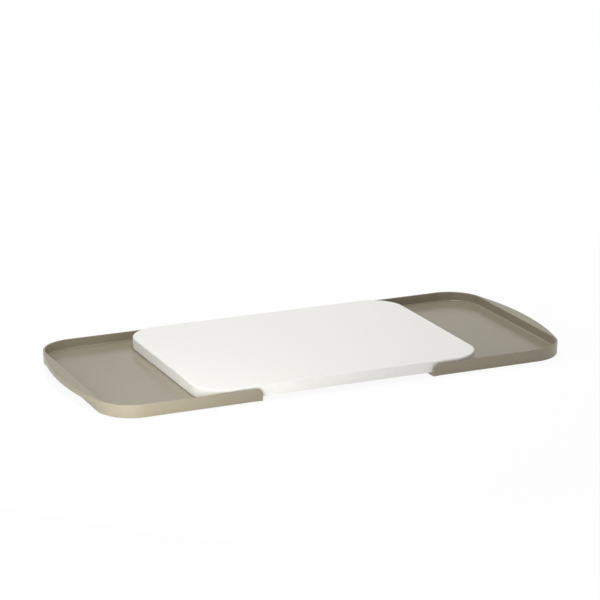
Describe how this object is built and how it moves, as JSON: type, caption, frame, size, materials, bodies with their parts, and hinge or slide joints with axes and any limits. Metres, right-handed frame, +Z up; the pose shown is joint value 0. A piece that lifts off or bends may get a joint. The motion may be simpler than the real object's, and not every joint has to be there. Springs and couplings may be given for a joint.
{
  "type": "cutting board with pull-out trays",
  "caption": "Flat white plastic cutting board lying in shallow taupe trays that slide out from under both of its ends to catch chopped food.",
  "frame": {"origin": "on the table, under the middle of the board, with both trays pulled out", "axes": "+X along the board's length towards the right tray, +Y from the front edge to the rear edge, +Z up"},
  "size_m": [0.5656, 0.25, 0.0175],
  "materials": {
    "board_white": "satin white cutting plastic with a fine grain",
    "tray_taupe": "satin moulded plastic in warm grey-beige",
    "rail_plastic": "natural white moulded plastic",
    "glide_plastic": "smooth low-friction plastic",
    "foot_rubber": "matte non-slip rubber",
    "screw_steel": "plain stainless steel"
  },
  "bodies": {
    "board": {"cutting_board": "board_white", "front_guide_rail": "rail_plastic", "rear_guide_rail": "rail_plastic", "rail_screws": "screw_steel"},
    "left_drawer": {"left_tray": "tray_taupe", "left_front_glide": "glide_plastic", "left_rear_glide": "glide_plastic", "left_glide_screws": "screw_steel", "left_front_inner_foot": "foot_rubber", "left_front_outer_foot": "foot_rubber", "left_rear_inner_foot": "foot_rubber", "left_rear_outer_foot": "foot_rubber"},
    "right_drawer": {"right_tray": "tray_taupe", "right_front_glide": "glide_plastic", "right_rear_glide": "glide_plastic", "right_glide_screws": "screw_steel", "right_front_inner_foot": "foot_rubber", "right_front_outer_foot": "foot_rubber", "right_rear_inner_foot": "foot_rubber", "right_rear_outer_foot": "foot_rubber"}
  },
  "joints": [
    {"name": "left_tray_slide", "type": "slide", "parent": "board", "child": "left_drawer", "axis": [-1, 0, 0], "range_m": [-0.0996, 0]},
    {"name": "right_tray_slide", "type": "slide", "parent": "board", "child": "right_drawer", "axis": [1, 0, 0], "range_m": [-0.0996, 0]}
  ]
}
